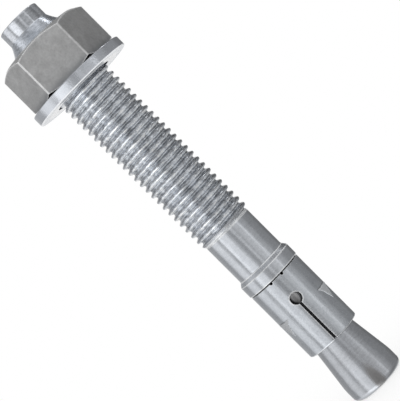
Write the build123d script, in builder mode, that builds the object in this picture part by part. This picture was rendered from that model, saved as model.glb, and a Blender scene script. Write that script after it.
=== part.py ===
"""Wedge anchor, M16: a threaded stud with a cone end, an expansion clip, a washer and a hexagon nut.

The stud stands on its cone end. The origin is the middle of that end face, and +Z runs up the axis
to the driving tip. The clip's front slot faces -Y. Sizes are in millimetres.
"""

import math
import os

from build123d import *

os.makedirs("parts", exist_ok=True)

# ---------------------------------------------------------------------------
# Driving dimensions
# ---------------------------------------------------------------------------

# Cone end of the stud
cone_diameter = 15.3
cone_land_length = 4.3
cone_edge_radius = 1.45
cone_half_angle = 7.4

# Neck, which the clip is rolled round
neck_root_chamfer = 0.3

# Collar, which pushes the clip into the hole and stands a little proud of it
collar_past_clip = 0.195
collar_land_length = 3.25
collar_edge_chamfer = 0.2
collar_lead_angle = 38.0

# Plain shank and thread
shank_diameter = 14.1
shank_length = 11.9
thread_diameter = 15.65
thread_pitch = 2.0
thread_turns = 33.15
thread_runout_angle = 35.0

# Driving tip, which takes the hammer blows
flare_length = 3.1
flare_hollow_radius = 14.0
tip_diameter = 11.95
tip_length = 3.95
tip_edge_chamfer = 0.3

# Expansion clip, rolled from sheet
clip_diameter = 15.56
clip_sheet = 1.6
clip_length = 20.9
clip_edge_chamfer = 0.35
clip_segments = 3

# Keyhole slots between the clip's segments, and the seam where the strip's ends meet
slot_width = 0.72
keyhole_diameter = 3.2
keyhole_depth = 6.85
seam_width = 0.8

# Locating notches in the clip's top edge, beside the front slot's line
notch_diameter = 0.75
notch_spacing = 3.65

# Raised barbs, one in the middle of each segment
barb_height = 0.28
barb_width = 4.7
barb_length = 4.6
barb_depth = 9.55

# Washer
washer_diameter = 29.0
washer_thickness = 2.85
washer_edge_chamfer = 0.25

# Hexagon nut
nut_across_flats = 23.5
nut_height = 12.7
nut_top_chamfer_diameter = 22.5
nut_seat_chamfer_diameter = 24.4
nut_chamfer_angle = 30.0
nut_corner_radius = 0.5
nut_countersink = 0.7
nut_below_thread_end = 0.45
nut_turned_by = -2.9

# Clearances
clip_on_neck_clearance = 0.43
clip_on_cone_clearance = 0.08
clip_under_collar_gap = 0.35
washer_bore_clearance = 0.55
nut_thread_clearance = 0.06

# ---------------------------------------------------------------------------
# Radii and heights worked out from them
# ---------------------------------------------------------------------------

clip_outer_radius = clip_diameter / 2
clip_inner_radius = clip_outer_radius - clip_sheet
cone_radius = cone_diameter / 2
neck_radius = clip_inner_radius - clip_on_neck_clearance
collar_radius = clip_outer_radius + collar_past_clip
shank_radius = shank_diameter / 2
thread_radius = thread_diameter / 2
tip_radius = tip_diameter / 2

cone_slope = math.tan(math.radians(cone_half_angle))
neck_bottom = cone_land_length + (cone_radius - neck_radius) / cone_slope

# The clip's lower edge hangs just clear of the cone, and the collar sits over its upper edge.
clip_seat_radius = clip_inner_radius - clip_on_cone_clearance
clip_bottom = cone_land_length + (cone_radius - clip_seat_radius) / cone_slope
clip_top = clip_bottom + clip_length
collar_bottom = clip_top + clip_under_collar_gap

collar_land_top = collar_bottom + collar_land_length
collar_lead_length = (collar_radius - shank_radius) / math.tan(math.radians(collar_lead_angle))
shank_bottom = collar_land_top + collar_lead_length
thread_bottom = shank_bottom + shank_length
thread_runout = (thread_radius - shank_radius) / math.tan(math.radians(thread_runout_angle))
thread_top = thread_bottom + thread_turns * thread_pitch
tip_bottom = thread_top + flare_length
stud_top = tip_bottom + tip_length

nut_top = thread_top - nut_below_thread_end
nut_bottom = nut_top - nut_height
washer_bottom = nut_bottom - washer_thickness


def rims_at(part, height):
    """Circular edges of a part that lie at one height, from the smallest to the largest."""
    circles = part.edges().filter_by(GeomType.CIRCLE)
    return circles.filter_by_position(Axis.Z, height, height).sort_by(SortBy.RADIUS)


# ---------------------------------------------------------------------------
# Stud: cone, neck, collar, shank, thread and driving tip, made as one piece
# ---------------------------------------------------------------------------

with BuildPart() as stud:
    with BuildSketch(Plane.XZ):
        with BuildLine():
            lower = Polyline(
                (0, 0),
                (cone_radius, 0),
                (cone_radius, cone_land_length),
                (neck_radius, neck_bottom),
                (neck_radius, collar_bottom),
                (collar_radius, collar_bottom),
                (collar_radius, collar_land_top),
                (shank_radius, shank_bottom),
                (shank_radius, thread_bottom),
                (thread_radius, thread_bottom + thread_runout),
                (thread_radius, thread_top),
            )
            flare = RadiusArc(lower @ 1, (tip_radius, tip_bottom), -flare_hollow_radius)
            upper = Polyline(flare @ 1, (tip_radius, stud_top), (0, stud_top))
            Line(upper @ 1, lower @ 0)
        make_face()
    revolve(axis=Axis.Z)
    fillet(rims_at(stud, 0)[-1], cone_edge_radius)
    chamfer(rims_at(stud, collar_bottom)[0], neck_root_chamfer)
    chamfer(rims_at(stud, collar_bottom)[-1], collar_edge_chamfer)
    chamfer(rims_at(stud, stud_top)[-1], tip_edge_chamfer)

stud.part.label = "stud"
export_step(stud.part, "parts/stud.step")

# ---------------------------------------------------------------------------
# Barb: a low ramp on the clip, steep towards the collar and fading to a point towards the cone
# ---------------------------------------------------------------------------

barb_top = clip_top - barb_depth
barb_point = barb_top - barb_length

with BuildPart() as barb:
    with BuildSketch(Plane.XZ):
        with BuildLine():
            Polyline(
                (clip_outer_radius, barb_point),
                (clip_outer_radius + barb_height, barb_top),
                (clip_outer_radius - clip_sheet / 2, barb_top),
                (clip_outer_radius - clip_sheet / 2, barb_point),
                close=True,
            )
        make_face()
    revolve(axis=Axis.Z)
    with BuildSketch(Plane.YZ):
        with BuildLine():
            Polyline(
                (-barb_width / 2, barb_top),
                (barb_width / 2, barb_top),
                (0, barb_point),
                close=True,
            )
        make_face()
    extrude(amount=clip_diameter, mode=Mode.INTERSECT)

# ---------------------------------------------------------------------------
# Expansion clip: a rolled strip with a keyhole slot between segments and an open seam
# ---------------------------------------------------------------------------

segment_angle = 360 / clip_segments
front_angle = -90.0
keyhole_height = clip_top - keyhole_depth
slotted_joints = clip_segments - 1

with BuildPart() as expansion_clip:
    with BuildSketch(Plane.XY.offset(clip_bottom)):
        Circle(clip_outer_radius)
        Circle(clip_inner_radius, mode=Mode.SUBTRACT)
    extrude(amount=clip_length)
    chamfer(rims_at(expansion_clip, clip_bottom)[-1], clip_edge_chamfer)

    # Raised barbs, in the middle of the segments
    for segment in range(clip_segments):
        add(barb.part, rotation=(0, 0, front_angle + (segment + 0.5) * segment_angle))

    # Keyhole slots, from a round hole down through the lower edge
    for joint in range(slotted_joints):
        slot_plane = Plane.YZ.rotated((0, 0, front_angle + joint * segment_angle))
        with BuildSketch(slot_plane):
            with Locations((0, keyhole_height)):
                Circle(keyhole_diameter / 2)
                Rectangle(slot_width, keyhole_height - clip_bottom, align=(Align.CENTER, Align.MAX))
        extrude(amount=clip_diameter, mode=Mode.SUBTRACT)

    # Seam, open over the whole length
    with BuildSketch(Plane.YZ.rotated((0, 0, front_angle + slotted_joints * segment_angle))):
        with Locations((0, clip_bottom)):
            Rectangle(seam_width, clip_length, align=(Align.CENTER, Align.MIN))
    extrude(amount=clip_diameter, mode=Mode.SUBTRACT)

    # Locating notches in the top edge
    with BuildSketch(Plane.YZ.rotated((0, 0, front_angle))):
        with Locations((-notch_spacing / 2, clip_top), (notch_spacing / 2, clip_top)):
            Circle(notch_diameter / 2)
    extrude(amount=clip_diameter, mode=Mode.SUBTRACT)

expansion_clip.part.label = "expansion_clip"
export_step(expansion_clip.part, "parts/expansion_clip.step")

# ---------------------------------------------------------------------------
# Washer: a punched flat ring that passes over the collar
# ---------------------------------------------------------------------------

with BuildPart() as washer:
    with BuildSketch(Plane.XY.offset(washer_bottom)):
        Circle(washer_diameter / 2)
        Circle(collar_radius + washer_bore_clearance, mode=Mode.SUBTRACT)
    extrude(amount=washer_thickness)
    for face_height in (washer_bottom, nut_bottom):
        chamfer(rims_at(washer, face_height)[-1], washer_edge_chamfer)

washer.part.label = "washer"
export_step(washer.part, "parts/washer.step")

# ---------------------------------------------------------------------------
# Hexagon nut: chamfered at both ends, with a countersunk bore that runs on the thread
# ---------------------------------------------------------------------------

nut_bore_radius = thread_radius + nut_thread_clearance
nut_corner_distance = nut_across_flats / 2 / math.cos(math.radians(30))
nut_top_radius = nut_top_chamfer_diameter / 2
nut_seat_radius = nut_seat_chamfer_diameter / 2
nut_chamfer_slope = math.tan(math.radians(nut_chamfer_angle))
nut_top_drop = (nut_corner_distance - nut_top_radius) * nut_chamfer_slope
nut_seat_drop = (nut_corner_distance - nut_seat_radius) * nut_chamfer_slope

with BuildPart() as hex_nut:
    with BuildSketch(Plane.XY.offset(nut_bottom)):
        RegularPolygon(nut_across_flats / 2, 6, major_radius=False, rotation=nut_turned_by)
    extrude(amount=nut_height)
    fillet(hex_nut.edges().filter_by(Axis.Z), nut_corner_radius)

    # Both ends are turned to a chamfer, which leaves the curved corners of the faces
    with BuildSketch(Plane.XZ):
        with BuildLine():
            Polyline(
                (0, nut_bottom),
                (nut_seat_radius, nut_bottom),
                (nut_corner_distance, nut_bottom + nut_seat_drop),
                (nut_corner_distance, nut_top - nut_top_drop),
                (nut_top_radius, nut_top),
                (0, nut_top),
                close=True,
            )
        make_face()
    revolve(axis=Axis.Z, mode=Mode.INTERSECT)

    with Locations((0, 0, nut_top)):
        CounterSinkHole(nut_bore_radius, nut_bore_radius + nut_countersink, counter_sink_angle=90)
    with BuildSketch(Plane.XY.offset(nut_bottom)):
        Circle(nut_bore_radius + nut_countersink)
    extrude(amount=nut_countersink, taper=45, mode=Mode.SUBTRACT)

hex_nut.part.label = "hex_nut"
export_step(hex_nut.part, "parts/hex_nut.step")
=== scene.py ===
"""Wedge anchor M16: stud, expansion clip, washer and hexagon nut, dressed for the studio.

The frame is the CAD's own: metres, the middle of the cone end's face at the origin, +Z up the axis.
Lengths below are in millimetres and are turned into metres where Blender takes them.
"""

import math

import bmesh
import bpy
from mathutils import Matrix, Vector


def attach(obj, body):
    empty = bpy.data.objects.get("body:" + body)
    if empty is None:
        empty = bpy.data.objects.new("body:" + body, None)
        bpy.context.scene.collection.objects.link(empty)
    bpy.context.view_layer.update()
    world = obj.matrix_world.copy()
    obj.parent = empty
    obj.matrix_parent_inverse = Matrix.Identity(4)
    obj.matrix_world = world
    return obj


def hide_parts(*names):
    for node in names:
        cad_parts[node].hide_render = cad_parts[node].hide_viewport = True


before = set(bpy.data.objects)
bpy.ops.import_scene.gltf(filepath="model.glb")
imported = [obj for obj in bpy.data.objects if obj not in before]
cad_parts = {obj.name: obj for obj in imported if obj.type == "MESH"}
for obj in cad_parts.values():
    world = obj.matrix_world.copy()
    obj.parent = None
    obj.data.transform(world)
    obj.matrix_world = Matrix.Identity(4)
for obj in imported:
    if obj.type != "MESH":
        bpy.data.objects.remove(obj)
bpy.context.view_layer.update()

MM = 0.001
scene = bpy.context.scene

# ---------------------------------------------------------------------------
# Camera
# ---------------------------------------------------------------------------

camera_data = bpy.data.cameras.new("camera")
camera = bpy.data.objects.new("camera", camera_data)
scene.collection.objects.link(camera)
scene.camera = camera

eye = Vector((-0.208, -389.708, 73.615)) * MM
aim = Vector((0.298, 0.0, 63.584)) * MM
# Rolled by half a right angle, so that the anchor lies from corner to corner of the view
view_up = Vector((1, 0, 1)).normalized()
forward = (aim - eye).normalized()
across = forward.cross(view_up).normalized()
upward = across.cross(forward)
placing = Matrix((across, upward, -forward)).transposed().to_4x4()
placing.translation = eye
camera.matrix_world = placing
camera_data.sensor_width = 36
camera_data.lens = 140.69

# ---------------------------------------------------------------------------
# The anchor's sizes, as in its CAD source
# ---------------------------------------------------------------------------

CONE_RADIUS = 7.65
CONE_LAND = 4.3
NECK_RADIUS = 5.75
NECK_BOTTOM = 18.929
COLLAR_RADIUS = 7.975
COLLAR_BOTTOM = 37.484
COLLAR_LAND_TOP = 40.734
SHANK_RADIUS = 7.05
SHANK_BOTTOM = 41.918
THREAD_RADIUS = 7.825
THREAD_BOTTOM = 53.818
THREAD_TOP = 120.118
PITCH = 2.0
TIP_RADIUS = 5.975
TIP_BOTTOM = 123.218
STUD_TOP = 127.168

CLIP_OUTER = 7.78
CLIP_INNER = 6.18
CLIP_BOTTOM = 16.234
CLIP_TOP = 37.20
SEGMENT_ANGLE = 120
KEYHOLE_HEIGHT = 30.284
KEYHOLE_RADIUS = 1.6
SLOT_WIDTH = 0.72
SEAM_WIDTH = 0.8
NOTCH_RADIUS = 0.40
NOTCH_OFFSET = 1.825
NOTCH_SUNK = 0.12
BARB_TOP = 27.584
BARB_POINT = 22.984
BARB_RAISED = 0.28

WASHER_RADIUS = 14.5
WASHER_BORE = 8.525
WASHER_BOTTOM = 104.118
WASHER_TOP = 106.968

NUT_CORNER = 13.568
NUT_BOTTOM = WASHER_TOP
NUT_TOP = 119.668
NUT_TURNED_BY = -2.9
NUT_CORNER_ROUNDING = 0.3
NUT_SEAT_RADIUS = 12.2
NUT_SEAT_CHAMFER = 0.79
NUT_FACE_RADIUS = 11.25
NUT_FACE_CHAMFER = 1.338
COUNTERSINK = 0.7

# ---------------------------------------------------------------------------
# What the CAD source leaves out: the thread's form, from root over crest to root
# ---------------------------------------------------------------------------

# Radius and height above the lower root; the rolled crest is fuller on its lower side
ROLLED_TOOTH = [
    (6.75, 0.0), (6.76, 0.10), (6.84, 0.22), (7.00, 0.32), (7.44, 0.50), (7.62, 0.61),
    (7.70, 0.73), (7.745, 0.85), (7.765, 1.0), (7.75, 1.12), (7.69, 1.23),
    (7.56, 1.35), (7.05, 1.66), (6.87, 1.77), (6.78, 1.88), (6.75, PITCH),
]
TAP_CREST = 7.885
TAP_TOOTH = [
    (6.92, 0.0), (6.93, 0.06), (7.02, 0.16), (7.15, 0.24), (7.50, 0.44), (7.70, 0.57),
    (7.81, 0.69), (7.87, 0.82), (TAP_CREST, 1.0), (7.87, 1.17), (7.81, 1.30),
    (7.68, 1.44), (7.18, 1.75), (7.02, 1.84), (6.93, 1.94), (6.92, PITCH),
]
THREAD_START = 50.50
THREAD_TURNS = 36
TAP_START = THREAD_START + 25 * PITCH
TAP_TURNS = 13
CORE_RADIUS = 6.70

# Sides of a turned bar, of a broad one and of a tool
BAR_SIDES = 144
BROAD_SIDES = 192
TOOL_SIDES = 96
# Close rings keep the clip's shading true beside its cuts
CLIP_RINGS = 38

# How deep a tool that comes in from one side cuts, and how far a tool runs past an end
CUT_DEPTH = 12
PAST = 1


# ---------------------------------------------------------------------------
# Bench tools
# ---------------------------------------------------------------------------

def clear_selection():
    """Leave edit mode and deselect everything, the CAD nodes included."""
    if bpy.context.object and bpy.context.object.mode != "OBJECT":
        bpy.ops.object.mode_set(mode="OBJECT")
    bpy.ops.object.select_all(action="DESELECT")


def work_on(piece):
    clear_selection()
    bpy.context.view_layer.objects.active = piece
    piece.select_set(True)


def begin_shaping(name):
    """Name the fresh primitive, fix its place in its mesh and open it in edit mode, all selected."""
    piece = bpy.context.object
    piece.name = name
    bpy.ops.object.transform_apply(location=True, rotation=True, scale=True)
    bpy.ops.object.mode_set(mode="EDIT")
    bpy.ops.mesh.select_mode(type="VERT")
    bpy.ops.mesh.select_all(action="SELECT")
    return piece


def close_shaping():
    """Point all faces outwards and leave edit mode."""
    bpy.ops.mesh.select_all(action="SELECT")
    bpy.ops.mesh.normals_make_consistent(inside=False)
    bpy.ops.object.mode_set(mode="OBJECT")


def pick_edges(piece, wanted):
    """In edit mode, select just the edges whose two ends and meeting angle pass the test."""
    bpy.ops.mesh.select_mode(type="EDGE")
    bpy.ops.mesh.select_all(action="DESELECT")
    mesh = bmesh.from_edit_mesh(piece.data)
    for edge in mesh.edges:
        first, second = (corner.co / MM for corner in edge.verts)
        turn_angle = math.degrees(edge.calc_face_angle(0))
        if wanted(first, second, turn_angle):
            edge.select = True
    bpy.ops.mesh.select_mode(type="EDGE")
    bmesh.update_edit_mesh(piece.data)


def round_rim(piece, radius, height, width, segments=3, slack=0.02):
    """Bevel the circular edge that runs at one radius and one height."""
    work_on(piece)
    bpy.ops.object.mode_set(mode="EDIT")

    def on_rim(first, second, turn_angle):
        return turn_angle > 1 and all(
            abs(math.hypot(end.x, end.y) - radius) < slack and abs(end.z - height) < slack
            for end in (first, second)
        )

    pick_edges(piece, on_rim)
    bpy.ops.mesh.bevel(offset=width * MM, segments=segments, profile=0.5, clamp_overlap=True)
    bpy.ops.object.mode_set(mode="OBJECT")


def turn(name, stations, sides=BAR_SIDES):
    """Turn a bar on the Z axis through its stations, each a radius and a height."""
    clear_selection()
    radius, height = stations[0]
    bpy.ops.mesh.primitive_circle_add(
        vertices=sides, radius=radius * MM, fill_type="NGON", location=(0, 0, height * MM)
    )
    bar = begin_shaping(name)
    for (near_radius, near_height), (far_radius, far_height) in zip(stations, stations[1:]):
        rise = (far_height - near_height) * MM
        widen = far_radius / near_radius
        bpy.ops.mesh.extrude_region_move(TRANSFORM_OT_translate={"value": (0, 0, rise)})
        bpy.ops.transform.resize(
            value=(widen, widen, 1), center_override=(0, 0, far_height * MM)
        )
    close_shaping()
    return bar


def draw_outline(name, corners, closed=False):
    """Draw a line through points in the XZ plane, as a vertex extruded from place to place."""
    points = [Vector((x, 0, z)) for x, z in corners]
    clear_selection()
    bpy.ops.mesh.primitive_plane_add(size=MM, location=(0, 0, 0))
    outline = begin_shaping(name)
    bpy.ops.mesh.merge(type="CENTER")
    bpy.ops.transform.translate(value=points[0] * MM)
    for here, there in zip(points, points[1:]):
        bpy.ops.mesh.extrude_vertices_move(TRANSFORM_OT_translate={"value": (there - here) * MM})
    if closed:
        bpy.ops.mesh.select_all(action="SELECT")
        bpy.ops.mesh.edge_face_add()
    return outline


def turn_about_axis(piece, degrees):
    piece.data.transform(Matrix.Rotation(math.radians(degrees), 4, "Z"))
    return piece


def turned_copy(piece, degrees):
    """A copy that has its own mesh, turned about the axis."""
    twin = piece.copy()
    twin.data = piece.data.copy()
    scene.collection.objects.link(twin)
    return turn_about_axis(twin, degrees)


def cut_block(name, corners, degrees=0.0):
    """A prism: an outline in the XZ plane pulled along -Y, then turned about the axis."""
    block = draw_outline(name, corners, closed=True)
    bpy.ops.mesh.extrude_region_move(TRANSFORM_OT_translate={"value": (0, -CUT_DEPTH * MM, 0)})
    close_shaping()
    return turn_about_axis(block, degrees)


def cut_slot(name, width, bottom, top, degrees):
    half = width / 2
    return cut_block(name, [(-half, bottom), (half, bottom), (half, top), (-half, top)], degrees)


def cut_hole(name, radius, offset, height, sides, degrees=0.0):
    """A round bar that lies along -Y, to the side of the axis, then turned about it."""
    clear_selection()
    bpy.ops.mesh.primitive_cylinder_add(
        vertices=sides, radius=radius * MM, depth=CUT_DEPTH * MM,
        location=(offset * MM, -CUT_DEPTH / 2 * MM, height * MM), rotation=(math.pi / 2, 0, 0),
    )
    bar = begin_shaping(name)
    bpy.ops.object.mode_set(mode="OBJECT")
    return turn_about_axis(bar, degrees)


def combine(piece, tool, operation):
    """Cut, join or keep what is common to both; the tool is used up."""
    work_on(piece)
    step = piece.modifiers.new("combine", "BOOLEAN")
    step.operation = operation
    step.object = tool
    step.solver = "MANIFOLD"
    bpy.ops.object.modifier_apply(modifier="combine")
    bpy.data.objects.remove(tool)


def bore_through(piece, radius, bottom, top, sides=BAR_SIDES):
    combine(piece, turn("bore", [(radius, bottom - PAST), (radius, top + PAST)], sides), "DIFFERENCE")


def soften_edges(piece, width, above, segments=2):
    """Bevel every edge that is sharper than an angle."""
    work_on(piece)
    step = piece.modifiers.new("soften", "BEVEL")
    step.width = width * MM
    step.segments = segments
    step.limit_method = "ANGLE"
    step.angle_limit = math.radians(above)
    step.use_clamp_overlap = True
    bpy.ops.object.modifier_apply(modifier="soften")


def merge_doubles():
    """In edit mode, weld the points that share a place."""
    bpy.ops.mesh.select_mode(type="VERT")
    bpy.ops.mesh.select_all(action="SELECT")
    bpy.ops.mesh.remove_doubles(threshold=MM * 0.001)


def finish_mesh(piece, smooth_below):
    """Merge doubles, point the faces outwards and smooth what meets at a low angle."""
    work_on(piece)
    bpy.ops.object.mode_set(mode="EDIT")
    merge_doubles()
    close_shaping()
    bpy.ops.object.shade_smooth_by_angle(angle=math.radians(smooth_below))
    # Broad faces keep their own direction, so that only the edges between them turn
    step = piece.modifiers.new("even_shading", "WEIGHTED_NORMAL")
    step.keep_sharp = True
    bpy.ops.object.modifier_apply(modifier="even_shading")


def thread_bar(name, tooth, bottom, turns, steps=72):
    """Sweep a tooth's outline up the axis, one pitch each turn, and close both ends."""
    bar = draw_outline(name, [(radius, bottom + height) for radius, height in tooth])
    bpy.ops.object.mode_set(mode="OBJECT")
    sweep = bar.modifiers.new("sweep", "SCREW")
    sweep.axis = "Z"
    sweep.angle = math.tau
    sweep.screw_offset = PITCH * MM
    sweep.iterations = turns
    sweep.steps = sweep.render_steps = steps
    sweep.use_merge_vertices = True
    sweep.merge_threshold = MM * 0.001
    bpy.ops.object.modifier_apply(modifier="sweep")

    bpy.ops.object.mode_set(mode="EDIT")
    merge_doubles()
    middle = (bottom + turns * PITCH / 2) * MM
    for side in (-1, 1):
        bpy.ops.mesh.select_mode(type="EDGE")
        bpy.ops.mesh.select_all(action="DESELECT")
        mesh = bmesh.from_edit_mesh(bar.data)
        for edge in mesh.edges:
            if edge.is_boundary and (edge.verts[0].co.z - middle) * side > 0:
                edge.select = True
        bmesh.update_edit_mesh(bar.data)
        bpy.ops.mesh.extrude_region_move()
        bpy.ops.mesh.merge(type="CENTER")
    bpy.ops.mesh.select_mode(type="VERT")
    close_shaping()
    return bar


# ---------------------------------------------------------------------------
# Stud: cone, neck, collar and shank turned, thread rolled, driving tip turned
# ---------------------------------------------------------------------------

def make_stud():
    stud = turn("stud_turned", [
        (CONE_RADIUS, 0), (CONE_RADIUS, CONE_LAND), (NECK_RADIUS, NECK_BOTTOM),
        (NECK_RADIUS, COLLAR_BOTTOM), (COLLAR_RADIUS, COLLAR_BOTTOM),
        (COLLAR_RADIUS, COLLAR_LAND_TOP),
        (SHANK_RADIUS, SHANK_BOTTOM), (SHANK_RADIUS, THREAD_BOTTOM),
        # The core lies inside the rolled thread
        (6.88, 54.10), (CORE_RADIUS, 54.6), (CORE_RADIUS, 118.9), (THREAD_RADIUS, THREAD_TOP),
        # The flare is hollow
        (7.287, 120.848), (6.80, 121.61), (6.362, 122.398), (TIP_RADIUS, TIP_BOTTOM),
        (TIP_RADIUS, STUD_TOP),
    ])
    # Each rounded rim's radius and height, its width and its segments
    for radius, height, width, segments in (
        (CONE_RADIUS, 0, 1.45, 8),
        (CONE_RADIUS, CONE_LAND, 0.9, 4),
        (NECK_RADIUS, NECK_BOTTOM, 0.8, 3),
        (COLLAR_RADIUS, COLLAR_BOTTOM, 0.12, 2),
        (COLLAR_RADIUS, COLLAR_LAND_TOP, 0.15, 3),
        (SHANK_RADIUS, SHANK_BOTTOM, 0.35, 4),
        (TIP_RADIUS, TIP_BOTTOM, 0.25, 3),
        (TIP_RADIUS, STUD_TOP, 0.3, 3),
    ):
        round_rim(stud, radius, height, width, segments)

    thread = thread_bar("rolled_thread", ROLLED_TOOTH, THREAD_START, THREAD_TURNS)
    # The thread runs out over the last turn at both ends
    reach = turn("thread_reach", [
        (6.2, 53.6), (6.95, 53.9), (7.85, 55.2), (7.85, 119.6), (7.4, 120.05),
    ])
    combine(thread, reach, "INTERSECT")
    combine(stud, thread, "UNION")
    finish_mesh(stud, smooth_below=32)
    return stud


# ---------------------------------------------------------------------------
# Expansion clip: a rolled strip with keyhole slots, an open seam, notches and raised barbs
# ---------------------------------------------------------------------------

def make_barb():
    """A low ramp, steep towards the collar, kept only inside a hollow-sided wedge."""
    ramp = turn("barb_ramp", [
        (CLIP_OUTER - 0.25, BARB_POINT - 0.3), (CLIP_OUTER - 0.02, BARB_POINT),
        (CLIP_OUTER + BARB_RAISED * 0.62, BARB_POINT + 2.4),
        (CLIP_OUTER + BARB_RAISED, BARB_TOP - 0.12), (CLIP_OUTER + BARB_RAISED - 0.09, BARB_TOP),
        (CLIP_OUTER - 0.5, BARB_TOP + 0.02),
    ])
    # Half its width, and how far down from just above its top
    side = [(2.35, 0.0), (1.30, -1.1), (0.88, -2.2), (0.41, -3.1), (0.10, -4.3)]
    right = [(x, BARB_TOP + 0.05 + z) for x, z in side]
    left = [(-x, z) for x, z in right[::-1]]
    combine(ramp, cut_block("barb_wedge", right + left), "INTERSECT")
    return ramp


def make_clip():
    heights = [CLIP_BOTTOM + (CLIP_TOP - CLIP_BOTTOM) * ring / CLIP_RINGS for ring in range(CLIP_RINGS + 1)]
    clip = turn("clip_rolled", [(CLIP_OUTER, height) for height in heights])
    round_rim(clip, CLIP_OUTER, CLIP_BOTTOM, 0.4, segments=4)
    round_rim(clip, CLIP_OUTER, CLIP_TOP, 0.12, segments=2)

    # The barbs stand midway between the slots and the seam
    barb = make_barb()
    for segment in range(3):
        combine(clip, turned_copy(barb, (segment + 0.5) * SEGMENT_ANGLE), "UNION")
    bpy.data.objects.remove(barb)
    bore_through(clip, CLIP_INNER, CLIP_BOTTOM, CLIP_TOP)

    # Keyhole slots, from a round hole down through the lower edge
    for joint in range(2):
        degrees = joint * SEGMENT_ANGLE
        hole = cut_hole("keyhole", KEYHOLE_RADIUS, 0, KEYHOLE_HEIGHT, sides=48, degrees=degrees)
        combine(clip, hole, "DIFFERENCE")
        combine(clip, cut_slot("slot", SLOT_WIDTH, CLIP_BOTTOM - PAST, KEYHOLE_HEIGHT, degrees), "DIFFERENCE")

    # The seam where the strip's ends meet, and the two notches in the top edge
    seam = cut_slot("seam", SEAM_WIDTH, CLIP_BOTTOM - PAST, CLIP_TOP + PAST, 2 * SEGMENT_ANGLE)
    combine(clip, seam, "DIFFERENCE")
    for side in (-1, 1):
        notch = cut_hole("notch", NOTCH_RADIUS, side * NOTCH_OFFSET, CLIP_TOP - NOTCH_SUNK, sides=24)
        combine(clip, notch, "DIFFERENCE")
    soften_edges(clip, 0.10, above=42)
    finish_mesh(clip, smooth_below=30)
    return clip


# ---------------------------------------------------------------------------
# Washer: punched from plate, rounded where the die drew its rim down
# ---------------------------------------------------------------------------

def make_washer():
    washer = turn("washer_ring", [(WASHER_RADIUS, WASHER_BOTTOM), (WASHER_RADIUS, WASHER_TOP)], BROAD_SIDES)
    bore_through(washer, WASHER_BORE, WASHER_BOTTOM, WASHER_TOP, BROAD_SIDES)
    round_rim(washer, WASHER_RADIUS, WASHER_BOTTOM, 0.32, segments=4)
    round_rim(washer, WASHER_RADIUS, WASHER_TOP, 0.25, segments=3)
    round_rim(washer, WASHER_BORE, WASHER_BOTTOM, 0.18, segments=2)
    round_rim(washer, WASHER_BORE, WASHER_TOP, 0.18, segments=2)
    finish_mesh(washer, smooth_below=35)
    return washer


# ---------------------------------------------------------------------------
# Nut: hexagon bar turned to a chamfer at both ends and tapped
# ---------------------------------------------------------------------------

def make_nut():
    clear_selection()
    bpy.ops.mesh.primitive_cylinder_add(
        vertices=6, radius=NUT_CORNER * MM, depth=(NUT_TOP - NUT_BOTTOM) * MM,
        location=(0, 0, (NUT_BOTTOM + NUT_TOP) / 2 * MM),
        rotation=(0, 0, math.radians(NUT_TURNED_BY + 30)),
    )
    nut = begin_shaping("nut_hex")
    # The six upright edges
    pick_edges(nut, lambda first, second, turn_angle: abs(first.z - second.z) > 5)
    bpy.ops.mesh.bevel(offset=NUT_CORNER_ROUNDING * MM, segments=3, profile=0.5)
    bpy.ops.object.mode_set(mode="OBJECT")

    chamfers = turn("chamfers", [
        (NUT_SEAT_RADIUS, NUT_BOTTOM), (NUT_CORNER, NUT_BOTTOM + NUT_SEAT_CHAMFER),
        (NUT_CORNER, NUT_TOP - NUT_FACE_CHAMFER), (NUT_FACE_RADIUS, NUT_TOP),
    ], BROAD_SIDES)
    combine(nut, chamfers, "INTERSECT")

    tap = thread_bar("tap", TAP_TOOTH, TAP_START, TAP_TURNS)
    tap_reach = turn("tap_reach", [(8.4, NUT_BOTTOM - 1.5), (8.4, NUT_TOP + 1.5)], TOOL_SIDES)
    combine(tap, tap_reach, "INTERSECT")
    combine(nut, tap, "DIFFERENCE")
    for end, inward in ((NUT_BOTTOM, 1), (NUT_TOP, -1)):
        stations = [
            (TAP_CREST + COUNTERSINK + 0.15, end - inward * 0.15), (TAP_CREST + COUNTERSINK, end),
            (TAP_CREST, end + inward * COUNTERSINK), (6.7, end + inward * 1.3),
        ]
        # A bar is turned from its lower end up
        combine(nut, turn("countersink", stations[::inward], TOOL_SIDES), "DIFFERENCE")
    finish_mesh(nut, smooth_below=28)
    return nut


stud = make_stud()
clip = make_clip()
washer = make_washer()
nut = make_nut()

for piece, node, body, slot in (
    (stud, "stud", "stud", "stud_zinc"),
    (clip, "expansion_clip", "clip", "clip_zinc"),
    (washer, "washer", "washer", "washer_zinc"),
    (nut, "hex_nut", "nut", "nut_zinc"),
):
    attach(piece, body)
    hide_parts(node)


# ---------------------------------------------------------------------------
# Node helpers
# ---------------------------------------------------------------------------

def place(tree, kind, sockets=None, **settings):
    """Add a node; each socket given is linked if it is an output, and set if it is a value."""
    node = tree.nodes.new(kind)
    for name, value in settings.items():
        setattr(node, name, value)
    for name, value in (sockets or {}).items():
        if isinstance(value, bpy.types.NodeSocket):
            tree.links.new(value, node.inputs[name])
        else:
            node.inputs[name].default_value = value
    return node


def maths(tree, operation, first, second=0.0, clamp=False):
    node = place(tree, "ShaderNodeMath", {0: first, 1: second}, operation=operation, use_clamp=clamp)
    return node.outputs[0]


def product(tree, first, *others):
    for other in others:
        first = maths(tree, "MULTIPLY", first, other)
    return first


def total(tree, *terms):
    """Add up values, each with its weight; a value of 1.0 makes the weight a plain amount."""
    first, *others = [maths(tree, "MULTIPLY", value, weight) for value, weight in terms]
    for other in others:
        first = maths(tree, "ADD", first, other)
    return first


def larger(tree, first, second):
    return maths(tree, "MAXIMUM", first, second)


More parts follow.
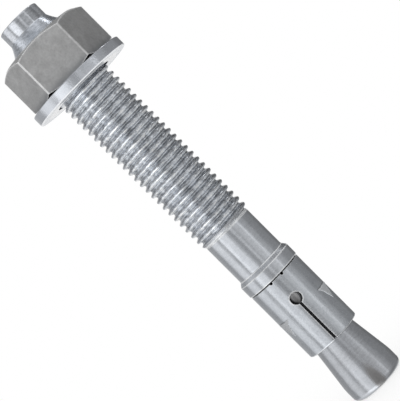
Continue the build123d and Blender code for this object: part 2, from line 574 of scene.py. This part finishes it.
def remap(tree, value, low, high, to_low=0.0, to_high=1.0, smooth=False):
    node = place(tree, "ShaderNodeMapRange", {
        "Value": value, "From Min": low, "From Max": high, "To Min": to_low, "To Max": to_high,
    }, interpolation_type="SMOOTHSTEP" if smooth else "LINEAR")
    return node.outputs["Result"]


def between(tree, value, start, full, still, end):
    """One from full to still, and nothing before start or past end."""
    return product(tree, remap(tree, value, start, full), remap(tree, value, end, still))


def vector_maths(tree, operation, first, second=None):
    sockets = {0: first} if second is None else {0: first, 1: second}
    return place(tree, "ShaderNodeVectorMath", sockets, operation=operation)


def blend_colour(tree, factor, first, second, blend="MIX", clamp=False):
    """Mix two colours, each an output or red, green and blue in linear light."""
    node = place(tree, "ShaderNodeMix", data_type="RGBA", blend_type=blend, clamp_result=clamp)
    for socket, value in ((node.inputs[0], factor), (node.inputs[6], first), (node.inputs[7], second)):
        if isinstance(value, bpy.types.NodeSocket):
            tree.links.new(value, socket)
        else:
            socket.default_value = (*value, 1.0) if isinstance(value, tuple) else value
    return node.outputs[2]


def multiply_colour(tree, colour, other, clamp=False):
    return blend_colour(tree, 1.0, colour, other, "MULTIPLY", clamp)


def grey_ramp(tree, value, levels):
    """Look a value from 0 to 1 up in a list of positions and levels."""
    ramp = place(tree, "ShaderNodeValToRGB", {"Fac": value})
    stops = ramp.color_ramp.elements
    while len(stops) > 1:
        stops.remove(stops[-1])
    for number, (position, level) in enumerate(levels):
        stop = stops[0] if number == 0 else stops.new(position)
        stop.position = position
        stop.color = (level, level, level, 1)
    return ramp.outputs["Color"]


def noise(tree, where, scale, detail, roughness, distortion=0.0):
    """Cloudy noise; its scale is in waves to the metre."""
    return place(tree, "ShaderNodeTexNoise", {
        "Vector": where, "Scale": scale, "Detail": detail, "Roughness": roughness,
        "Distortion": distortion,
    }).outputs["Fac"]


def place_on_part(tree):
    return place(tree, "ShaderNodeTexCoord").outputs["Object"]


def parts_of(tree, vector):
    parts = place(tree, "ShaderNodeSeparateXYZ", {"Vector": vector})
    return parts.outputs["X"], parts.outputs["Y"], parts.outputs["Z"]


def from_parts(tree, x, y, z):
    return place(tree, "ShaderNodeCombineXYZ", {"X": x, "Y": y, "Z": z}).outputs["Vector"]


def distance_from_axis(tree):
    """In millimetres."""
    flat = vector_maths(tree, "MULTIPLY", place_on_part(tree), (1.0, 1.0, 0.0)).outputs["Vector"]
    return maths(tree, "DIVIDE", vector_maths(tree, "LENGTH", flat).outputs["Value"], MM)


def height_on_axis(tree):
    """In millimetres."""
    return maths(tree, "DIVIDE", parts_of(tree, place_on_part(tree))[2], MM)


def angle_round_axis(tree):
    """From +X, in radians."""
    x, y = parts_of(tree, place_on_part(tree))[:2]
    return maths(tree, "ARCTAN2", y, x)


def facing_up(tree):
    """How far a face points up: 1 for a level top, -1 for a level underside."""
    normal = place(tree, "ShaderNodeNewGeometry").outputs["True Normal"]
    return parts_of(tree, normal)[2]


# ---------------------------------------------------------------------------
# Effects that several finishes share
# ---------------------------------------------------------------------------

def new_group(name, inputs, outputs):
    """A node group of floats, each input with its name, value, least and most, and its two ends."""
    group = bpy.data.node_groups.new(name, "ShaderNodeTree")
    for title, value, low, high in inputs:
        socket = group.interface.new_socket(title, in_out="INPUT", socket_type="NodeSocketFloat")
        socket.default_value, socket.min_value, socket.max_value = value, low, high
    for title in outputs:
        group.interface.new_socket(title, in_out="OUTPUT", socket_type="NodeSocketFloat")
    start = group.nodes.new("NodeGroupInput").outputs
    end = group.nodes.new("NodeGroupOutput").inputs
    return group, start, end


def make_edge_wear():
    """Where an edge has been rubbed bright: a mask from how fast the surface turns."""
    group, start, end = new_group("edge wear", [
        ("Edge Radius", 0.0002, 0.0, 0.005), ("Breakup Scale", 900.0, 0.0, 5000.0),
        ("Amount", 1.0, 0.0, 4.0),
    ], ["Mask"])
    rounded = place(group, "ShaderNodeBevel", {"Radius": start["Edge Radius"]}, samples=6)
    flat = place(group, "ShaderNodeNewGeometry")
    agree = vector_maths(group, "DOT_PRODUCT", rounded.outputs["Normal"], flat.outputs["Normal"])
    turned = remap(group, agree.outputs["Value"], 0.995, 0.90)
    patches = noise(group, place_on_part(group), start["Breakup Scale"], 3.0, 0.6)
    rubbed = product(group, turned, remap(group, patches, 0.30, 0.62, 0.35, 1.0))
    group.links.new(maths(group, "MULTIPLY", rubbed, start["Amount"], clamp=True), end["Mask"])
    return group


def make_plating():
    """How the zinc varies: broad cloudy tone, fine crystal grain and scattered dull spots."""
    group, start, end = new_group("zinc plating", [
        ("Cloud Scale", 220.0, 0.0, 5000.0), ("Grain Scale", 2600.0, 0.0, 20000.0),
    ], ["Cloud", "Grain", "Spots"])
    where = place_on_part(group)
    cloud = noise(group, where, start["Cloud Scale"], 4.0, 0.55, 0.6)
    grain = noise(group, where, start["Grain Scale"], 2.0, 0.6)
    spots = place(group, "ShaderNodeTexVoronoi", {
        "Vector": where, "Scale": product(group, start["Cloud Scale"], 3.1), "Randomness": 1.0})
    group.links.new(remap(group, cloud, 0.30, 0.70), end["Cloud"])
    group.links.new(remap(group, grain, 0.25, 0.75), end["Grain"])
    group.links.new(remap(group, spots.outputs["Distance"], 0.16, 0.05), end["Spots"])
    return group


def make_drawn_lines():
    """Lines along the axis, fine and broad, as drawing and rolling leave them."""
    group, start, end = new_group("drawn lines", [
        ("Line Scale", 1500.0, 0.0, 20000.0), ("Line Length", 0.04, 0.001, 1.0),
    ], ["Lines", "Broad"])
    x, y, z = parts_of(group, place_on_part(group))
    squeezed = from_parts(group, x, y, product(group, z, start["Line Length"]))
    fine = noise(group, squeezed, start["Line Scale"], 3.0, 0.65)
    broad = noise(group, squeezed, product(group, start["Line Scale"], 0.22), 2.0, 0.5)
    group.links.new(remap(group, fine, 0.28, 0.72), end["Lines"])
    group.links.new(remap(group, broad, 0.32, 0.68), end["Broad"])
    return group


def make_turned_rings():
    """Rings round the axis, as a turning tool leaves them."""
    group, start, end = new_group("turned rings", [
        ("Ring Scale", 2400.0, 0.0, 20000.0), ("Waver", 0.03, 0.0, 1.0),
    ], ["Rings"])
    x, y, z = parts_of(group, place_on_part(group))
    spread = maths(group, "SQRT", maths(group, "ADD", product(group, x, x), product(group, y, y)))
    drawn_out = from_parts(
        group, product(group, x, start["Waver"]), product(group, y, start["Waver"]),
        maths(group, "ADD", z, spread))
    rings = noise(group, drawn_out, start["Ring Scale"], 2.0, 0.6)
    group.links.new(remap(group, rings, 0.28, 0.72), end["Rings"])
    return group


def make_height_band():
    """A mask that is one between two heights on the axis and fades out past them."""
    group, start, end = new_group("height band", [
        ("From", 0.0, -1.0, 1.0), ("To", 0.1, -1.0, 1.0), ("Fade", 0.001, 0.00001, 0.1),
    ], ["Mask"])
    height = parts_of(group, place_on_part(group))[2]
    below = maths(group, "SUBTRACT", start["From"], start["Fade"])
    above = maths(group, "ADD", start["To"], start["Fade"])
    rising = remap(group, height, below, start["From"], smooth=True)
    falling = remap(group, height, above, start["To"], smooth=True)
    group.links.new(product(group, rising, falling), end["Mask"])
    return group


EDGE_WEAR = make_edge_wear()
PLATING = make_plating()
DRAWN_LINES = make_drawn_lines()
TURNED_RINGS = make_turned_rings()
HEIGHT_BAND = make_height_band()


def use_group(tree, group, **values):
    """Place a shared effect with its own values; gives its outputs, or the only one."""
    node = tree.nodes.new("ShaderNodeGroup")
    node.node_tree = group
    for name, value in values.items():
        node.inputs[name.replace("_", " ")].default_value = value
    return node.outputs[0] if len(node.outputs) == 1 else list(node.outputs)


def height_band(tree, low, high, fade):
    """One between two heights in millimetres."""
    return use_group(tree, HEIGHT_BAND, From=low * MM, To=high * MM, Fade=fade * MM)


def start_finish(name):
    material = bpy.data.materials.new(name)
    material.use_nodes = True
    return material, material.node_tree


def finish_zinc(tree, colour, not_metal, roughness, height, depth):
    """Join a finish to its shader; what is scuffed is less of a metal."""
    metallic = maths(tree, "SUBTRACT", 1.0, not_metal, clamp=True)
    normal = place(tree, "ShaderNodeBump", {"Height": height, "Distance": depth * MM, "Strength": 1.0})
    for name, value in (
        ("Base Color", colour), ("Metallic", metallic), ("Roughness", roughness),
        ("Normal", normal.outputs["Normal"]),
    ):
        tree.links.new(value, tree.nodes["Principled BSDF"].inputs[name])


# ---------------------------------------------------------------------------
# Finishes
# ---------------------------------------------------------------------------

# Zinc on each piece, from its dullest to its brightest
STUD_ZINC = (0.605, 0.635, 0.682), (0.803, 0.835, 0.882)
CLIP_ZINC = (0.505, 0.533, 0.577), (0.75, 0.785, 0.83)
WASHER_ZINC = (0.71, 0.745, 0.803), (0.867, 0.90, 0.96)
NUT_ZINC = (0.485, 0.487, 0.489), (0.745, 0.748, 0.752)

FIRST_TOOTH_SHADE_GREY = (0.36, 0.37, 0.39)
SLOPE_SHADE_GREY = (0.34, 0.35, 0.37)
HEAT_SCALE_GREY = (0.46, 0.47, 0.495)
SMUDGE_AND_SHADE_BROWN = (0.30, 0.285, 0.27)
TIP_ZINC = (0.81, 0.84, 0.895)
FLARE_ZINC = (0.70, 0.75, 0.84)
STUD_POLISH_AND_HIGHLIGHT = (0.90, 0.915, 0.93)
NECK_SHADE_BLACK = (0.014, 0.014, 0.016)
KEYHOLE_PAINTED_SHADE = (0.0, 0.0, 0.0)
KEYHOLE_PAINTED_LIGHT = (1.0, 1.0, 1.02)
BARB_STEP_SHADOW = (0.16, 0.16, 0.17)
BARB_GREY = (0.42, 0.43, 0.44)
CLIP_POLISH_AND_HIGHLIGHT = (0.94, 0.95, 0.97)
CLIP_INSIDE_SHADE = (0.04, 0.04, 0.045)
UNDERSIDE_GREY = (0.63, 0.65, 0.69)
FROSTED_ZINC = (0.93, 0.94, 0.95)
WASHER_POLISH_AND_HIGHLIGHT = (0.92, 0.93, 0.95)
SEAT_SHADE_GREY = (0.26, 0.275, 0.295)
NUT_POLISHED = (0.95, 0.955, 0.96)
SEAT_GAP_SHADOW = (0.05, 0.05, 0.055)

# Up one tooth of the thread, from root over crest to root: painted light and shade, and how far it is rubbed
# bright
TOOTH_LIGHT_AND_SHADE = [
    (0.00, 0.60), (0.04, 0.52), (0.10, 0.58), (0.16, 0.86), (0.225, 0.95), (0.29, 0.95), (0.35, 0.92),
    (0.41, 0.78), (0.475, 0.68), (0.54, 0.60), (0.60, 0.50), (0.66, 0.40), (0.725, 0.38), (0.79, 0.46),
    (0.85, 0.64), (0.91, 0.74), (0.96, 0.68), (1.00, 0.60),
]
TOOTH_RUBBED = [
    (0.00, 0.00), (0.13, 0.00), (0.20, 0.54), (0.30, 0.54), (0.37, 0.25), (0.45, 0.05), (0.50, 0.00),
    (0.82, 0.00), (0.87, 0.22), (0.93, 0.22), (0.98, 0.00), (1.00, 0.00),
]
# The thread's painted light and shade is lifted brighter than the plain bar
THREAD_LIFT = 1.38

# Where the stud is rubbed bright, with painted highlight lines, from and to, and how it fades: the collar's
# two edges, the foot of its slope and the shank's end, where the thread starts
STUD_LIPS = [(37.4, 37.72, 0.08), (40.68, 40.82, 0.1), (41.80, 41.95, 0.1), (53.75, 54.30, 0.15)]

# The dapple on the thread is drawn out round the axis
DAPPLE_SQUEEZE = (0.5, 0.5, 1.25)
SMUDGE_AND_SHADE_MIDDLE = (0.4, -7.6, 1.8)
# Squeezing its height most leaves the smudge and painted shade longer up the cone than round it
SMUDGE_AND_SHADE_SQUEEZE = (1.0, 0.4, 0.28)


def make_stud_zinc():
    material, tree = start_finish("stud_zinc")
    cloud, grain, spots = use_group(tree, PLATING, Cloud_Scale=180.0, Grain_Scale=2400.0)
    lines, broad_lines = use_group(tree, DRAWN_LINES, Line_Scale=1700.0, Line_Length=0.05)
    rings = use_group(tree, TURNED_RINGS, Ring_Scale=2600.0, Waver=0.03)
    wear = use_group(tree, EDGE_WEAR, Edge_Radius=0.25 * MM, Breakup_Scale=1400.0, Amount=0.9)
    thread = height_band(tree, 54.0, 120.0, 0.4)
    first_tooth = height_band(tree, 54.5, 55.4, 0.2)
    full_teeth = height_band(tree, 55.6, 118.6, 1.0)
    cone = height_band(tree, -1.0, 18.0, 2.0)
    tip = height_band(tree, 123.2, 130.0, 0.3)
    flare = height_band(tree, 120.2, 123.2, 0.2)
    neck = height_band(tree, 16.6, 37.0, 0.3)
    keyhole = height_band(tree, 28.8, 32.5, 0.5)
    collar_slope = height_band(tree, 40.8, 41.8, 0.1)
    angle = angle_round_axis(tree)
    height_up = height_on_axis(tree)

    tone = total(tree, (cloud, 0.45), (broad_lines, 0.35), (grain, 0.2))
    bar = blend_colour(tree, tone, *STUD_ZINC)

    # The flanks under the crests are rubbed bright by the nut, and painted light and shade makes them light
    # and those above dark
    tooth = maths(tree, "FRACT", total(
        tree, (height_up, 1 / PITCH), (angle, -1 / math.tau), (1.0, -THREAD_START / PITCH)))
    uneven = remap(tree, total(tree, (grain, 0.6), (cloud, 0.4)), 0.25, 0.75, 0.35, 1.35)
    rubbed = product(tree, grey_ramp(tree, tooth, TOOTH_RUBBED), full_teeth, uneven)
    thread_light_and_shade = multiply_colour(tree, bar, grey_ramp(tree, tooth, TOOTH_LIGHT_AND_SHADE))
    thread_light_and_shade = multiply_colour(tree, thread_light_and_shade, (THREAD_LIFT,) * 3)
    # Rolling presses the zinc unevenly, which dapples the thread the way the teeth run
    drawn_round = vector_maths(tree, "MULTIPLY", place_on_part(tree), DAPPLE_SQUEEZE).outputs["Vector"]
    dapple = remap(tree, noise(tree, drawn_round, 1600.0, 2.0, 0.7), 0.30, 0.70, 0.60, 1.40)
    thread_light_and_shade = multiply_colour(tree, thread_light_and_shade, dapple, clamp=True)
    colour = blend_colour(tree, thread, bar, thread_light_and_shade)
    # Painted shade darkens the first tooth
    colour = blend_colour(tree, product(tree, first_tooth, 0.5), colour, FIRST_TOOTH_SHADE_GREY)

    # The slope up to the collar is rougher, and painted shade darkens it, most of all towards +X
    towards = maths(tree, "COSINE", maths(tree, "ADD", angle, math.radians(38)))
    dull = product(tree, collar_slope, remap(tree, towards, 0.55, 0.98, 0.18, 0.62, smooth=True))
    colour = blend_colour(tree, dull, colour, SLOPE_SHADE_GREY)
    heat_scale = total(tree, (cone, 0.25), (product(tree, cone, cloud), 0.35))
    colour = blend_colour(tree, heat_scale, colour, HEAT_SCALE_GREY)
    colour = blend_colour(tree, product(tree, tip, 0.7), colour, TIP_ZINC)
    colour = blend_colour(tree, product(tree, flare, 0.5), colour, FLARE_ZINC)
    dappled = total(tree, (flare, 0.4), (tip, 0.3), (1.0, 0.18))
    colour = blend_colour(tree, dappled, colour, multiply_colour(tree, colour, dapple))

    # A brown smudge of heat scale on one side of the cone's end, which also paints shade on the end's
    # rounding there
    offset = vector_maths(tree, "SUBTRACT", place_on_part(tree), tuple(Vector(SMUDGE_AND_SHADE_MIDDLE) * MM))
    squeezed = vector_maths(tree, "MULTIPLY", offset.outputs["Vector"], SMUDGE_AND_SHADE_SQUEEZE)
    reach = vector_maths(tree, "LENGTH", squeezed.outputs["Vector"]).outputs["Value"]
    ragged = total(tree, (reach, 1 / MM), (cloud, 0.6))
    smudge_and_shade = remap(tree, ragged, 2.2, 1.2, smooth=True)
    colour = blend_colour(tree, product(tree, smudge_and_shade, 0.62), colour, SMUDGE_AND_SHADE_BROWN)

    # The lips are rubbed bright and carry painted highlight lines
    lip = total(tree, *[(height_band(tree, *band), 1.0) for band in STUD_LIPS])
    polish_and_highlight = larger(tree, wear, product(tree, lip, remap(tree, grain, 0.1, 0.6, 0.45, 1.0)))
    colour = blend_colour(tree, polish_and_highlight, colour, STUD_POLISH_AND_HIGHLIGHT)

    # Painted shade: the neck under the clip is painted almost black
    colour = blend_colour(tree, product(tree, neck, 0.95), colour, NECK_SHADE_BLACK)
    # Through a keyhole the neck is painted light and shade instead, darker to one side. The angle starts
    # again between the two keyholes, from a lower limit that leaves the second one lighter than the first
    sideways = place(tree, "ShaderNodeMath", {
        0: maths(tree, "ADD", angle, math.radians(150)), 1: math.radians(SEGMENT_ANGLE), 2: 0.5,
    }, operation="WRAP").outputs[0]
    sideways = maths(tree, "SUBTRACT", sideways, math.radians(SEGMENT_ANGLE / 2))
    sideways = product(tree, sideways, NECK_RADIUS)
    shaded = remap(tree, total(tree, (sideways, 0.9), (height_up, 0.6)), 16.6, 19.0, 0.12, 0.62)
    colour = blend_colour(tree, keyhole, colour, blend_colour(tree, shaded, KEYHOLE_PAINTED_SHADE, KEYHOLE_PAINTED_LIGHT))

    scuffed = total(tree, (rubbed, 1.0), (polish_and_highlight, 0.4))
    rough = total(tree, (cloud, 0.06), (lines, 0.05), (spots, 0.08), (cone, 0.05), (tip, -0.09),
                  (flare, -0.04), (neck, 0.05), (smudge_and_shade, 0.08), (collar_slope, 0.22),
                  (first_tooth, 0.25), (wear, -0.05), (1.0, 0.12))
    plain = maths(tree, "SUBTRACT", 1.0, thread)
    height = total(tree, (product(tree, lines, plain), 0.6), (product(tree, grain, flare), 1.4),
                   (product(tree, grain, thread), 0.8), (product(tree, rings, cone), 0.5),
                   (grain, 0.45), (cloud, 0.5))
    finish_zinc(tree, colour, scuffed, rough, height, depth=0.012)
    return material


def make_clip_zinc():
    material, tree = start_finish("clip_zinc")
    cloud, grain, spots = use_group(tree, PLATING, Cloud_Scale=240.0, Grain_Scale=2200.0)
    lines, broad_lines = use_group(tree, DRAWN_LINES, Line_Scale=1500.0, Line_Length=0.06)
    wear = use_group(tree, EDGE_WEAR, Edge_Radius=0.30 * MM, Breakup_Scale=1800.0, Amount=1.4)
    away = distance_from_axis(tree)
    raised = remap(tree, away, 7.81, 7.90)
    inside = remap(tree, away, 7.68, 7.50)

    # The punched rims of keyholes and slots are rubbed bright and carry painted highlight lines: how far
    # round and up from the nearest keyhole
    angle = angle_round_axis(tree)
    half_segment = math.radians(SEGMENT_ANGLE / 2)
    side = maths(tree, "PINGPONG", maths(tree, "ADD", angle, math.pi / 2), half_segment)
    along = product(tree, side, CLIP_OUTER)
    above_hole = maths(tree, "SUBTRACT", height_on_axis(tree), KEYHOLE_HEIGHT)
    from_hole = maths(tree, "SQRT", maths(
        tree, "ADD", product(tree, along, along), product(tree, above_hole, above_hole)))
    # The third place round the clip is the seam, which has no hole and runs up to the top edge
    from_seam = maths(tree, "SUBTRACT", angle, math.radians(2 * SEGMENT_ANGLE - 90))
    by_seam = remap(tree, maths(tree, "COSINE", from_seam), 0.45, 0.50)
    ring = product(tree, remap(tree, from_hole, 2.00, 1.82, 0.0, 0.75), maths(tree, "SUBTRACT", 1.0, by_seam))
    slot_rim = product(tree, remap(tree, along, 0.70, 0.56, 0.0, 0.5),
                       larger(tree, remap(tree, above_hole, 0.0, -0.5), by_seam))
    punched = larger(tree, ring, slot_rim)
    # The lower lip slides over the cone; it is rubbed bright and carries a painted highlight line
    lip = height_band(tree, 16.0, 16.42, 0.1)
    # Painted shadow behind the barbs' steps
    from_barb = maths(tree, "SUBTRACT", half_segment * CLIP_OUTER, along)
    behind = product(tree, remap(tree, from_barb, 2.7, 2.2), height_band(tree, 27.62, 27.85, 0.15))

    tone = total(tree, (cloud, 0.35), (broad_lines, 0.4), (grain, 0.55))
    colour = blend_colour(tree, tone, *CLIP_ZINC)
    colour = blend_colour(tree, product(tree, behind, 0.55), colour, BARB_STEP_SHADOW)
    colour = blend_colour(tree, product(tree, raised, 0.8), colour, BARB_GREY)
    worn = product(tree, wear, remap(tree, raised, 0.0, 1.0, 1.0, 0.35))
    rubbed = larger(tree, larger(tree, punched, lip), worn)
    rubbed = product(tree, rubbed, remap(tree, grain, 0.1, 0.6, 0.5, 1.0))
    colour = blend_colour(tree, rubbed, colour, CLIP_POLISH_AND_HIGHLIGHT)
    # Painted shade: the clip is painted almost black inside
    colour = blend_colour(tree, product(tree, inside, 0.95), colour, CLIP_INSIDE_SHADE)

    scuffed = total(tree, (raised, 0.5), (rubbed, 0.45), (inside, -0.45))
    rough = total(tree, (cloud, 0.07), (lines, 0.06), (spots, 0.08), (inside, 0.15), (raised, 0.30),
                  (1.0, 0.14))
    height = total(tree, (lines, 0.7), (grain, 0.60), (cloud, 0.6))
    finish_zinc(tree, colour, scuffed, rough, height, depth=0.012)
    return material


def make_washer_zinc():
    material, tree = start_finish("washer_zinc")
    cloud, grain, spots = use_group(tree, PLATING, Cloud_Scale=200.0, Grain_Scale=2000.0)
    lines, broad_lines = use_group(tree, DRAWN_LINES, Line_Scale=1300.0, Line_Length=0.25)
    wear = use_group(tree, EDGE_WEAR, Edge_Radius=0.2 * MM, Breakup_Scale=1200.0, Amount=1.0)
    away = distance_from_axis(tree)
    rim = remap(tree, away, 14.20, 14.45)
    # A painted highlight line along the rim's lower edge
    lower_lip_highlight = product(tree, remap(tree, away, 14.05, 14.25), height_band(tree, 104.0, 104.36, 0.08),
                        remap(tree, grain, 0.1, 0.6, 0.8, 1.0))
    underside = product(tree, remap(tree, facing_up(tree), -0.90, -0.99), remap(tree, away, 14.1, 13.9))
    # Its middle never rubs on anything and stays frosted
    frosted = product(tree, underside, remap(tree, away, 12.3, 11.2))

    tone = total(tree, (cloud, 0.5), (grain, 0.25), (product(tree, broad_lines, rim), 0.25))
    colour = blend_colour(tree, tone, *WASHER_ZINC)
    colour = blend_colour(tree, product(tree, underside, 0.6), colour, UNDERSIDE_GREY)
    colour = blend_colour(tree, frosted, colour, FROSTED_ZINC)
    colour = blend_colour(tree, larger(tree, wear, lower_lip_highlight), colour, WASHER_POLISH_AND_HIGHLIGHT)

    scuffed = total(tree, (lower_lip_highlight, 0.95), (underside, 0.62), (frosted, 0.35))
    fine_lines = product(tree, lines, rim)
    rough = total(tree, (cloud, 0.08), (spots, 0.08), (fine_lines, 0.06), (1.0, 0.12))
    height = total(tree, (fine_lines, 0.9), (grain, 0.9), (cloud, 0.8))
    finish_zinc(tree, colour, scuffed, rough, height, depth=0.015)
    return material


def make_nut_zinc():
    material, tree = start_finish("nut_zinc")
    cloud, grain, spots = use_group(tree, PLATING, Cloud_Scale=260.0, Grain_Scale=1800.0)
    wear = use_group(tree, EDGE_WEAR, Edge_Radius=0.6 * MM, Breakup_Scale=1100.0, Amount=1.6)
    forging = noise(tree, place_on_part(tree), 420.0, 5.0, 0.6, 0.4)
    forged = remap(tree, forging, 0.36, 0.64)
    height_up = height_on_axis(tree)

    # Spanners rub the corners bright
    corner = product(tree, remap(tree, distance_from_axis(tree), 13.34, 13.42),
                     remap(tree, forging, 0.35, 0.55, 0.34, 0.76))
    worn = larger(tree, wear, corner)
    # Painted shade: the faces are darker towards the washer, most of all beside it
    seat_shade = total(tree, (remap(tree, height_up, 114.0, 107.4), 0.16),
                      (remap(tree, height_up, 109.2, 107.0, smooth=True), 0.52))
    # Painted shadow in the wedge between the seat chamfer and the washer
    seat_gap_shadow = product(tree, height_band(tree, 106.0, 107.9, 0.1), remap(tree, facing_up(tree), -0.3, -0.6))

    tone = total(tree, (cloud, 0.25), (grain, 0.45), (forged, 0.3))
    colour = blend_colour(tree, tone, *NUT_ZINC)
    colour = blend_colour(tree, seat_shade, colour, SEAT_SHADE_GREY)
    colour = blend_colour(tree, worn, colour, NUT_POLISHED)
    colour = blend_colour(tree, seat_gap_shadow, colour, SEAT_GAP_SHADOW)

    scuffed = product(tree, total(tree, (wear, 0.5), (corner, 0.06)), maths(tree, "SUBTRACT", 1.0, seat_gap_shadow))
    rough = total(tree, (cloud, 0.07), (forged, 0.08), (spots, 0.06), (1.0, 0.36), (worn, -0.22))
    height = total(tree, (forged, 1.0), (grain, 0.3))
    finish_zinc(tree, colour, scuffed, rough, height, depth=0.02)
    return material


for piece, material in (
    (stud, make_stud_zinc()), (clip, make_clip_zinc()),
    (washer, make_washer_zinc()), (nut, make_nut_zinc()),
):
    piece.data.materials.clear()
    piece.data.materials.append(material)

# ---------------------------------------------------------------------------
# Studio: a white backdrop, with light and grey panels round the bench that only gloss shows
# ---------------------------------------------------------------------------

# Azimuth in degrees, from the camera's side of the bench and growing towards +X, and brightness
BENCH_PANELS = [
    (-180, 0.84), (-168, 0.84), (-160, 0.46), (-111, 0.38), (-104, 0.76), (-88, 0.85),
    (-71, 0.78), (-67, 0.47), (-58, 0.44), (-54.5, 1.12), (-47, 1.10), (-44, 0.87), (-22, 0.83),
    (-14, 0.50), (0, 0.35), (5, 0.40), (8.5, 0.69), (14, 0.67), (16, 0.42),
    (21, 0.41), (25, 0.54), (45, 0.57), (48, 0.86), (52, 0.86), (55, 0.44), (76, 0.40), (86, 0.29),
    (124, 0.27), (132, 0.21), (166, 0.17), (172, 0.84), (180, 0.84),
]
UPPER_PANELS = [
    (-180, 0.45), (-113, 0.32), (-105, 0.90), (-88, 0.90), (-78, 0.60), (-40, 0.42), (-12, 0.33),
    (-4, 0.50), (14, 0.54), (30, 0.66), (62, 0.68), (78, 0.60), (85, 0.42), (96, 0.42), (104, 0.52),
    (126, 0.30), (136, 0.16), (165, 0.16), (174, 1.00), (180, 1.00),
]
# Under the bench's edge: what the rounded lower edges see
UNDER_PANELS = [
    (-180, 0.70), (-140, 0.62), (-120, 0.75), (-90, 0.95), (-70, 1.05), (-58, 1.50), (-30, 1.50),
    (-14, 0.50), (15, 0.34), (40, 0.42), (60, 0.42), (80, 0.28), (120, 0.24), (160, 0.50), (180, 0.70),
]
CEILING_GREY = (0.46, 0.47, 0.48)
BENCH_EDGE_GREY = (0.20, 0.195, 0.19)
WINDOW_WHITE = (3.0, 3.0, 3.0)

# Heights are the upward part of a ray's direction: nothing, full, still full and nothing again
OVER_BENCH = (0.01, 0.04, 0.32, 0.38)
TIP_CARD = (0.112, 0.126, 0.24, 0.30)
# Stretches that are brighter or dimmer: azimuths, how soft the sides are, heights and factor.
# The last two are cards that only the driving tip sees.
STRETCHES = [
    (-47, -18, 1, OVER_BENCH, 1.13), (-58, -47, 1, OVER_BENCH, 0.88), (7, 15, 1, OVER_BENCH, 0.85),
    (20, 102, 3, TIP_CARD, 0.72), (-26, 3, 3, TIP_CARD, 0.84),
]


def panel_ring(tree, turn_fraction, panels):
    """Look the brightness of a ring of panels up by the azimuth, as a part of a turn."""
    return grey_ramp(tree, turn_fraction, [((degrees + 180) / 360, level) for degrees, level in panels])


def make_world():
    world = bpy.data.worlds.new("studio")
    scene.world = world
    world.use_nodes = True
    # Reflections have to find the surround themselves, as only they are shown its panels
    world.cycles.sampling_method = "NONE"
    tree = world.node_tree

    x, y, up = parts_of(tree, place(tree, "ShaderNodeTexCoord").outputs["Generated"])
    radians_round = maths(tree, "ARCTAN2", x, product(tree, y, -1.0))
    azimuth = product(tree, radians_round, 180 / math.pi)
    turn_fraction = remap(tree, radians_round, -math.pi, math.pi)

    surround = panel_ring(tree, turn_fraction, BENCH_PANELS)
    raised = remap(tree, up, 0.34, 0.50, smooth=True)
    surround = blend_colour(tree, raised, surround, panel_ring(tree, turn_fraction, UPPER_PANELS))
    surround = blend_colour(tree, remap(tree, up, 0.86, 0.95, smooth=True), surround, CEILING_GREY)
    # The bench's own dark front edge
    edge = product(tree, between(tree, azimuth, -18, -11, 16, 26), remap(tree, up, -0.13, -0.17))
    surround = blend_colour(tree, edge, surround, BENCH_EDGE_GREY)
    for start, end, soft, heights, factor in STRETCHES:
        stretch = product(tree, between(tree, azimuth, start - soft, start + soft, end - soft, end + soft),
                          between(tree, up, *heights))
        surround = blend_colour(tree, stretch, surround, multiply_colour(tree, surround, (factor,) * 3))
    below = remap(tree, up, -0.28, -0.46, smooth=True)
    surround = blend_colour(tree, below, surround, panel_ring(tree, turn_fraction, UNDER_PANELS))

    # One window, high behind the right shoulder, leaning back
    leaning = maths(tree, "SUBTRACT", azimuth, product(tree, maths(tree, "SUBTRACT", up, 0.58), 125.0))
    window = product(tree, between(tree, leaning, 96, 99, 109, 112),
                     between(tree, up, 0.52, 0.57, 0.70, 0.745))
    surround = blend_colour(tree, window, surround, WINDOW_WHITE)

    rays = place(tree, "ShaderNodeLightPath")
    colour = blend_colour(tree, rays.outputs["Is Glossy Ray"], (1.0, 1.0, 1.0), surround)
    tree.links.new(colour, tree.nodes["Background"].inputs["Color"])


FLOOR_RADIUS = 115
FLOOR_MARGIN = 20


def make_floor():
    clear_selection()
    bpy.ops.mesh.primitive_circle_add(vertices=TOOL_SIDES, radius=FLOOR_RADIUS * MM, fill_type="NGON")
    floor = begin_shaping("floor")
    bpy.ops.mesh.inset(thickness=FLOOR_MARGIN * MM)
    bpy.ops.object.mode_set(mode="OBJECT")
    material, tree = start_finish("floor_paint")
    paint = tree.nodes["Principled BSDF"]
    paint.inputs["Base Color"].default_value = (1, 1, 1, 1)
    paint.inputs["Roughness"].default_value = 1.0
    paint.inputs["Specular IOR Level"].default_value = 0.0
    glow = place(tree, "ShaderNodeEmission", {"Color": (1, 1, 1, 1), "Strength": 1.0})
    rays = place(tree, "ShaderNodeLightPath")
    seen = maths(tree, "ADD", rays.outputs["Is Camera Ray"], rays.outputs["Is Transmission Ray"], clamp=True)
    # The white glow takes over towards the rim, so that the floor's edge can't be seen
    outwards = remap(tree, distance_from_axis(tree), 30, 100, 0.6, 1.0)
    white = place(tree, "ShaderNodeMixShader", {
        0: product(tree, seen, outwards), 1: paint.outputs["BSDF"], 2: glow.outputs["Emission"]})
    # Gloss sees the backdrop that lies behind the floor
    clear = place(tree, "ShaderNodeBsdfTransparent")
    mix = place(tree, "ShaderNodeMixShader", {
        0: rays.outputs["Is Glossy Ray"], 1: white.outputs["Shader"], 2: clear.outputs["BSDF"]})
    tree.links.new(mix.outputs["Shader"], tree.nodes["Material Output"].inputs["Surface"])
    floor.data.materials.append(material)


make_world()
make_floor()
scene.view_settings.view_transform = "Standard"

clear_selection()
